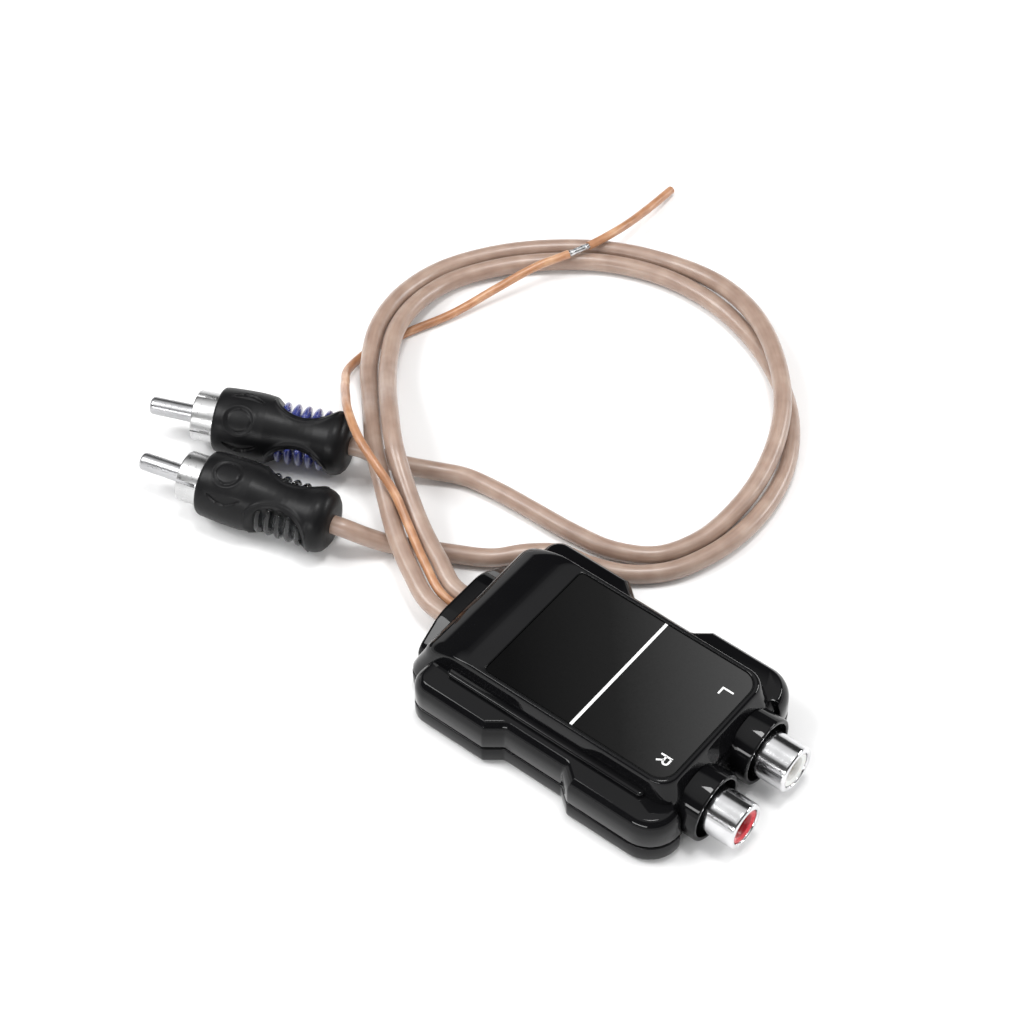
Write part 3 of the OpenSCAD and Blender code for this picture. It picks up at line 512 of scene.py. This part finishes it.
BOWL = [(-0.7, 0.93), (0.3, 0.93)]
BOWL += [(0.3 + 0.5 * math.sin(math.radians(t)), 0.43 + 0.5 * math.cos(math.radians(t))) for t in range(20, 180, 20)]
BOWL += [(0.3, -0.07), (-0.7, -0.07)]
LETTERS = {
    "L": [[(-0.7, 1.1), (-0.7, -0.93), (0.75, -0.93)]],
    "R": [[(-0.7, 1.1), (-0.7, -1.1)], BOWL, [(0.1, -0.07), (0.8, -1.1)]],
}
marks += letter(7.4, -17.0, LETTERS["L"]) + letter(-9.2, -17.1, LETTERS["R"])
v, f = merge(*marks)
printing = make("label_marks", v, f, print_white, 30)


# ---------------------------------------------------------------- jacks
def jack(side, x, insert_material, painted_shade_material):
    place = lambda p: (p[1] + x, p[0], p[2] + 5.8)
    barrel = [(-20.5, 3.15), (-31.5, 3.15), (-31.75, 3.17), (-31.9, 3.23), (-31.98, 3.33), (-32.0, 3.45)]
    barrel += [(-32.0 + 0.6 * (1 - math.cos(math.radians(t))), 3.55 + 0.6 * math.sin(math.radians(t)))
               for t in (10, 25, 40, 55, 70, 82)]
    barrel += [(-31.3, 4.15), (-23.2, 4.15), (-23.1, 3.9), (-20.5, 3.9)]
    v, f = put(lathe(barrel, 128), place)
    ob = make(side + "_jack_barrel_look", v, f, barrel_metal, 35)
    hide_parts(side + "_jack_barrel")
    ins = [(-21, 3.14), (-31.45, 3.14), (-31.6, 3.1), (-31.68, 3.0), (-31.68, 2.78), (-31.6, 2.55), (-31.48, 2.35),
           (-31.42, 2.2), (-31.2, 2.0), (-30.9, 1.8), (-30.6, 1.7), (-20.6, 1.68)]
    v, f = put(lathe(ins, 96), place)
    # the faces inside the hole take the darker copy of the insert colour as painted shade
    throat = [1 if k >= 96 * 7 else 0 for k in range(len(f))]
    ob = make(side + "_jack_insert_look", v, f, None, 35, None, [insert_material, painted_shade_material], throat)
    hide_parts(side + "_jack_insert")


jack("left", 7, white_plastic, white_throat_painted_shade)
jack("right", -7, red_plastic, red_throat_painted_shade)


# ---------------------------------------------------------------- plugs
HEAD = 14.7
SCOOP = (8.6, 7.2, 2.95)
BODY = [(0, 3.2), (0.12, 3.9), (0.4, 4.5), (1.0, 5.2), (1.7, 5.55), (2.4, 5.7), (3.2, 5.68), (4.4, 5.45), (6, 5.15),
        (7.5, 5.0), (8.6, 4.97), (10, 5.05), (11.6, 5.25), (13, 5.5), (14.7, 5.88), (16, 6.02), (17.2, 6.07),
        (19, 6.05), (21, 5.97), (22.4, 5.88), (23.4, 5.79), (23.75, 5.7), (23.92, 5.55), (24.0, 5.3), (24.0, 4.5)]


def soft_min(a, b, k):
    h = np.clip(0.5 + 0.5 * (b - a) / k, 0, 1)
    return b + (a - b) * h - k * h * (1 - h)


def window_depth(x):
    """How far from a plug's middle plane the windows reach at x."""
    sx, sr, web = SCOOP
    dx = x - sx
    return np.where(np.abs(dx) < sr, web + sr - np.sqrt(np.maximum(sr * sr - dx * dx, 0)), 99.0)


def body_radius(x, t):
    """Radius of a plug's body at x along it and angle t round it, with t = 0 to the side."""
    xs, rs = zip(*BODY)
    r = np.interp(x, xs, rs)
    cut = window_depth(x)
    side = np.maximum(np.abs(np.cos(t)), 1e-4)
    on_web = cut - r * side
    r = r + 0.2 * np.exp(-((on_web - 0.75) / 0.28) ** 2) * (np.abs(x - SCOOP[0]) < SCOOP[1] - 1.4)
    # the plain round mark on each flat of the head, and a hollow crescent on either side of it
    away = r * np.arccos(np.minimum(np.abs(np.sin(t)), 1))
    ring = np.hypot(x - 19.2, away)
    r = r + 0.05 * np.exp(-((ring - 2.85) / 0.2) ** 2) - 0.14 * np.clip((2.65 - ring) / 0.15, 0, 1)
    r = r - 0.14 * np.exp(-((ring - 2.15) / 0.12) ** 2)
    u = (x - 18.6) / 3.3
    top = 4.3 + 0.25 * u
    depth = np.maximum(1 - u * u, 0) * 1.8
    r = r - 0.45 * np.clip((away - top) / np.maximum(depth, 0.3), 0, 1) * np.clip((top + depth - away) / 0.14, 0, 1) * (np.abs(u) < 1)
    return soft_min(r, np.minimum(cut / side, 40.0), 0.16)


def plug(side, at, heading, roll, grip_material):
    c, s = math.cos(math.radians(heading)), math.sin(math.radians(heading))
    cr, sr = math.cos(math.radians(roll)), math.sin(math.radians(roll))

    def place(p):
        y, z = p[1] * cr - p[2] * sr, p[1] * sr + p[2] * cr
        return at[0] + p[0] * c - y * s, at[1] + p[0] * s + y * c, at[2] + z

    xs = [x for x, _ in BODY[:6]] + [2.4 + (22.4 - 2.4) * k / 130 for k in range(1, 130)] + [x for x, _ in BODY[19:]]
    n = 208
    rings = []
    for x in xs:
        rings.append([(x, float(body_radius(x, t)) * math.cos(t), float(body_radius(x, t)) * math.sin(t))
                      for t in (2 * math.pi * k / n for k in range(n))])
    rings.append([(23.2, 4.46 * math.cos(2 * math.pi * k / n), 4.46 * math.sin(2 * math.pi * k / n)) for k in range(n)])
    rings = [[(0, 1.7 * math.cos(2 * math.pi * k / n), 1.7 * math.sin(2 * math.pi * k / n)) for k in range(n)]] + rings
    v, f = put(loft(rings, (False, False)), place)
    body = make(side + "_plug_body_look", v, f, rubber, 50)
    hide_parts(side + "_plug_body")
    # the grip: a core with leaning ribs
    rings = []
    for k in range(241):
        x = 1.7 + 15.8 * k / 240
        ring = []
        for j in range(120):
            t = 2 * math.pi * j / 120
            xx = x + 0.5 * math.sin(t)
            step = (xx - 8.6 + 0.95) % 1.9 - 0.95
            wave = math.sqrt(max(0.0, 1 - (step / 0.75) ** 2))
            near = max(0.0, min(1.0, (5.4 - abs(x - 8.6)) / 0.6))
            free = 5.45 * abs(math.cos(t)) - window_depth(x)
            r = 3.95 + 1.45 * near * wave * max(0.0, min(1.0, free / 0.3))
            ring.append((x, r * math.cos(t), r * math.sin(t)))
        rings.append(ring)
    v, f = put(loft(rings), place)
    grip = make(side + "_plug_grip_look", v, f, grip_material, 60)
    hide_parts(side + "_plug_grip")
    # the shield: four petals on a ring
    base, rim, ri, ro = 21.2, 28.2, 4.15, 4.45
    parts = [lathe([(base, 2.4), (base, ro), (24.55, ro), (24.6, ro), (24.6, ri), (base + 0.3, ri), (base + 0.3, 2.4), (base, 2.4)], 96)]
    half = 0.3 / 4.3
    for k in range(4):
        a0 = math.pi / 4 + k * math.pi / 2 + half
        a1 = math.pi / 4 + (k + 1) * math.pi / 2 - half
        prof = [(24.5, ri), (rim - 0.05, ri), (rim, ri + 0.06), (rim, ro - 0.12), (rim - 0.12, ro - 0.03), (rim - 0.3, ro), (24.5, ro)]
        pv, pf = lathe(prof, 24, (a0, a1))
        m = len(prof)
        pf = pf + [tuple(j * 25 for j in range(m)), tuple(j * 25 + 24 for j in reversed(range(m)))]
        parts.append((pv, pf))
    v, f = put(merge(*parts), place)
    shield = make(side + "_plug_shield_look", v, f, shield_metal, 35)
    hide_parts(side + "_plug_shield")
    v, f = put(lathe([(21.5, 1.37), (21.5, 4.1), (24.5, 4.1), (24.6, 4.0), (24.6, 1.37)], 96), place)
    insulator = make(side + "_plug_insulator_look", v, f, white_plastic, 35)
    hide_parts(side + "_plug_insulator")
    tip = 36.8
    prof = [(21, 1.35), (24.8, 1.35), (24.9, 1.6), (tip - 0.8, 1.6), (tip - 0.5, 1.58), (tip - 0.3, 1.5), (tip - 0.14, 1.36),
            (tip - 0.04, 1.15), (tip, 0.9), (tip, 0.01)]
    v, f = put(lathe(prof, 64), place)
    pin = make(side + "_plug_pin_look", v, f, pin_metal, 40)
    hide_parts(side + "_plug_pin")
    return [body, grip, shield, insulator, pin]


right_at, right_heading, right_roll = (15.5, 69, 6.15), 113, -36
left_at, left_heading, left_roll = (0, 59.8, 6.15), 105, -10
right_plug = plug("right", right_at, right_heading, right_roll, violet_grip)
left_plug = plug("left", left_at, left_heading, left_roll, clear_grip)

# ---------------------------------------------------------------- cords
# Middle of the two cables from the casing to where they part: x, y, z, turn and half spacing, in mm
PAIR = [
    (0, 28.2, 4.7, 0, 2.6), (0, 32, 4.7, 0, 2.6), (0.2, 36, 4.9, 0, 2.6), (3, 42, 5.5, 0, 2.6),
    (7, 49, 6.2, 0, 2.3), (11.5, 55.5, 7.8, 10, 1.9), (16, 61.5, 9.8, 22, 1.8),
    (22, 67.5, 9.5, 30, 1.8), (28, 73, 6.8, 30, 1.8), (34.5, 78.5, 5, 15, 1.8),
    (42, 83, 4.5, 5, 1.75), (51, 85.5, 3.2, 0, 1.75), (60.5, 85, 2, 0, 1.75),
    (70, 80, 1.8, 0, 1.75), (78, 72.5, 1.8, 0, 1.75), (84, 64, 1.8, 0, 1.75),
    (87.5, 54, 2, -5, 1.75), (88, 43.5, 2.6, -25, 1.8), (85, 33, 3.4, -60, 1.85),
    (79, 23, 3.6, -90, 1.85), (71, 15, 3.6, -115, 1.85), (60.5, 9.5, 3, -140, 1.85),
    (49, 7.5, 2.4, -160, 1.8), (38, 9, 1.8, -180, 1.8), (31, 12.5, 1.8, -180, 2)]
RIGHT_RUN = [(28, 21, 1.8), (26.8, 29, 1.8), (26.5, 37, 1.8), (26.2, 44.5, 1.8),
             (25.2, 51.5, 1.8), (22.6, 56.5, 2.2), (19.9, 60.5, 3.2), (17.7, 64.4, 4.6)]
LEFT_RUN = [(25, 16.5, 1.8), (22.9, 22, 1.8), (21.8, 27.5, 1.8), (18.5, 32, 1.8),
            (14, 36, 1.8), (10.4, 42, 1.8), (7.6, 47.6, 1.8), (5, 51.6, 2.4), (2.6, 54.8, 4.2)]
WIRE_START = [(0, 28.2, 4.7), (0, 32, 4.7), (0.2, 36, 5.3), (3, 42, 6.2), (7, 49, 7.6),
        (9.8, 54.5, 9.8), (11, 59, 11.8), (13, 64.5, 13.1), (17, 70.5, 12.7), (22, 75.5, 9.2),
        (27, 80, 5.4), (32, 83.6, 2.2), (38, 84.4, 0.9), (46, 82, 0.9), (55, 78.2, 1.2),
        (64, 75, 2.6), (72, 71.5, 4.4), (77.5, 68.8, 4.7)]
WIRE_END = [(81.5, 67.2, 4.7), (88.5, 65.6, 4.4), (97.5, 65.8, 2.4), (106, 66.2, 1)]


def unit(a):
    return np.array(a, float) / np.linalg.norm(a)


def run_at(r, i):
    if i == 0:
        return unit(r[1] - r[0])
    if i == len(r) - 1:
        return unit(r[i] - r[i - 1])
    return unit(unit(r[i + 1] - r[i]) + unit(r[i] - r[i - 1]))


def pair_run(side):
    mid = [np.array(p[:3], float) for p in PAIR]
    out = []
    for i, p in enumerate(PAIR):
        t = run_at(mid, i)
        s = unit(np.cross(t, (0, 0, 1)))
        u = np.cross(s, t)
        a = math.radians(p[3])
        out.append(mid[i] + side * p[4] * (s * math.cos(a) + u * math.sin(a)))
    return out


def behind(at, heading, d):
    return np.array(at, float) - d * np.array((math.cos(math.radians(heading)), math.sin(math.radians(heading)), 0))


def smooth_route(points, step):
    """An even curve through the points."""
    p = [np.array(q, float) for q in points]
    p = [2 * p[0] - p[1]] + p + [2 * p[-1] - p[-2]]
    out = []
    for i in range(1, len(p) - 2):
        a, b, c, d = p[i - 1:i + 3]
        la, lb, lc = (max(0.3, np.linalg.norm(x)) for x in (b - a, c - b, d - c))
        m0 = ((b - a) / la * lb + (c - b) / lb * la) / (la + lb) * lb
        m1 = ((c - b) / lb * lc + (d - c) / lc * lb) / (lb + lc) * lb
        n = max(2, int(lb / step))
        for k in range(n):
            t = k / n
            out.append((2 * t ** 3 - 3 * t ** 2 + 1) * b + (t ** 3 - 2 * t ** 2 + t) * m0
                       + (3 * t ** 2 - 2 * t ** 3) * c + (t ** 3 - t ** 2) * m1)
    out.append(p[-2])
    return out


def frames(route):
    """Distance along the route and the two directions across it, at each of its points."""
    side = unit(np.cross(unit(route[1] - route[0]), (0, 0, 1)))
    run, out = 0.0, []
    for i, p in enumerate(route):
        t = run_at(route, i)
        side = unit(side - (side @ t) * t)
        if i:
            run += float(np.linalg.norm(route[i] - route[i - 1]))
        out.append((run, side, np.cross(side, t)))
    return out


def tube(route, radius, sides=24, start=0.0, off=None):
    """A round cord: its mesh, with U along it in metres and V round it. off moves its middle aside."""
    rings, dist = [], []
    for p, (run, side, up) in zip(route, frames(route)):
        mid = p if off is None else p + off(run, side, up)
        dist.append((start + run) * MM)
        rings.append([mid + radius * (side * math.cos(2 * math.pi * k / sides) + up * math.sin(2 * math.pi * k / sides))
                      for k in range(sides)])
    verts, faces = loft(rings, (True, True))
    uvs = []
    for j in range(len(route) - 1):
        for k in range(sides):
            v0, v1 = k / sides, (k + 1) / sides
            uvs.append(((dist[j], v0), (dist[j], v1), (dist[j + 1], v1), (dist[j + 1], v0)))
    for at in (0, -1):
        uvs.append(tuple((dist[at], k / sides) for k in range(sides)))
    return verts, faces, uvs


def cord_object(name, tubes, *materials):
    """One object of several tubes, each with its own material where several are given."""
    v, f = merge(*[(t[0], t[1]) for t in tubes])
    which = [min(k, len(materials) - 1) for k, t in enumerate(tubes) for _ in t[1]]
    return make(name, v, f, None, 50, [uv for t in tubes for uv in t[2]], materials, which)


def plug_end(at, heading):
    return [behind(at, heading, 1.5), behind(at, heading, 0)]


right_points = pair_run(-1) + list(RIGHT_RUN) + plug_end(right_at, right_heading)
left_points = pair_run(1) + list(LEFT_RUN) + plug_end(left_at, left_heading)
right_route, left_route = smooth_route(right_points, 0.9), smooth_route(left_points, 0.9)
right_cable = cord_object("right_cable_look", [tube(right_route, 1.65)], rose)
left_cable = cord_object("left_cable_look", [tube(left_route, 1.65)], rose)

wire_radius = 0.8
wire_route = smooth_route(WIRE_START + WIRE_END, 0.6)
for point in wire_route:
    point[2] = max(point[2], wire_radius)


def nearest(point):
    return min(range(len(wire_route)), key=lambda i: np.linalg.norm(wire_route[i] - np.array(point)))


a, b = nearest(WIRE_START[-1]), nearest(WIRE_END[0])
far = frames(wire_route)[b][0]
wire = cord_object("ground_wire_look", [tube(wire_route[:a + 1], wire_radius, 16), tube(wire_route[a - 1:b + 2], 0.5, 16),
                                        tube(wire_route[b:], wire_radius, 16, far)], orange, tinned, orange)


def twisted(k):
    def off(run, side, up):
        t = 2 * math.pi * (k / 6 + run / 8)
        return 0.36 * (side * math.cos(t) + up * math.sin(t))
    return off


window = [wire_route[a] + (wire_route[b] - wire_route[a]) * k / 16 for k in range(17)]
strands = cord_object("bare_strands_look", [tube(window, 0.2, 8)] + [tube(window, 0.2, 8, off=twisted(k)) for k in range(6)],
                      tinned)
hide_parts("bare_strands")
for ob, node, slot in ((right_cable, "right_cable", "rose_jacket"), (left_cable, "left_cable", "rose_jacket")):
    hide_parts(node)
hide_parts("ground_wire")

# ---------------------------------------------------------------- carried nodes
for node, mat in {
    "left_jack_contact": gold_contact, "right_jack_contact": gold_contact,
    "left_ground_lug": gold_contact, "right_ground_lug": gold_contact,
    "circuit_board": board_green, "left_core": lamination, "right_core": lamination,
    "left_bobbin": nylon, "right_bobbin": nylon, "left_winding": copper_wire, "right_winding": copper_wire,
    "terminal_pins": tinned, "front_left_screw": dark_steel, "front_right_screw": dark_steel,
    "rear_left_screw": dark_steel, "rear_right_screw": dark_steel, "cable_grommet": rubber,
    "inner_leads": copper_wire,
}.items():
    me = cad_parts[node].data
    me.materials.clear()
    me.materials.append(mat)

# ---------------------------------------------------------------- floor, world and lights
m, nodes, links = nodes_of("floor")
p = nodes["Principled BSDF"]
c = nodes.new("ShaderNodeTexCoord").outputs["Object"]
tone = ramp(nodes, links, noise(nodes, links, c, 3), (0.3, (0.9, 0.9, 0.9)), (0.7, (0.915, 0.915, 0.915)))
links.new(tone, p.inputs["Base Color"])
p.inputs["Roughness"].default_value = 0.7
p.inputs["Specular IOR Level"].default_value = 0.1
me = bpy.data.meshes.new("floor")
me.from_pydata([(-6, -6, 0), (6, -6, 0), (6, 6, 0), (-6, 6, 0)], [], [(0, 1, 2, 3)])
me.materials.append(m)
floor = bpy.data.objects.new("floor", me)
bpy.context.scene.collection.objects.link(floor)
floor.location.z = -0.00002

world = bpy.data.worlds.new("world")
bpy.context.scene.world = world
world.use_nodes = True
nodes, links = world.node_tree.nodes, world.node_tree.links
bg = nodes["Background"]
bg.inputs["Color"].default_value = (1, 1, 1, 1)
bg.inputs["Strength"].default_value = 0.55
# what the camera, gloss and glass see: a white backdrop, darker walls above it and a pale ceiling
room = nodes.new("ShaderNodeBackground")
sep = nodes.new("ShaderNodeSeparateXYZ")
links.new(nodes.new("ShaderNodeTexCoord").outputs["Generated"], sep.inputs[0])
links.new(ramp(nodes, links, sep.outputs[2], (0.0, (1, 1, 1)), (0.17, (1, 1, 1)), (0.23, (0.03, 0.03, 0.03)),
               (0.68, (0.02, 0.02, 0.02)), (0.78, (0.8, 0.8, 0.8)), (1.0, (1, 1, 1))), room.inputs["Color"])
path = nodes.new("ShaderNodeLightPath")
seen = path.outputs["Is Camera Ray"]
for ray in ("Is Glossy Ray", "Is Transmission Ray"):
    either = nodes.new("ShaderNodeMath")
    either.operation = "MAXIMUM"
    links.new(seen, either.inputs[0])
    links.new(path.outputs[ray], either.inputs[1])
    seen = either.outputs[0]
mix = nodes.new("ShaderNodeMixShader")
links.new(seen, mix.inputs["Fac"])
links.new(bg.outputs[0], mix.inputs[1])
links.new(room.outputs[0], mix.inputs[2])
links.new(mix.outputs[0], nodes["World Output"].inputs["Surface"])


def area(name, place, target, size, power, colour=(1, 1, 1)):
    d = bpy.data.lights.new(name, "AREA")
    d.shape = "RECTANGLE"
    d.size, d.size_y = size
    d.energy = power
    d.color = colour
    ob = bpy.data.objects.new(name, d)
    bpy.context.scene.collection.objects.link(ob)
    ob.location = place
    ob.rotation_mode = "QUATERNION"
    ob.rotation_quaternion = (Vector(target) - Vector(place)).to_track_quat("-Z", "Y")
    return ob


area("key", (-0.35, 0.55, 0.75), (0.02, 0.03, 0), (0.4, 0.4), 5.4)
area("front", (0.75, -0.5, 0.45), (0.02, 0.0, 0), (0.5, 0.12), 4.0)
area("left", (-0.78, -0.12, 0.33), (0.02, 0.0, 0), (0.6, 0.1), 2.5)
area("top", (0.1, 0.0, 1.1), (0.03, 0.03, 0), (0.25, 0.25), 4.6)

scene = bpy.context.scene
scene.view_settings.view_transform = "Standard"
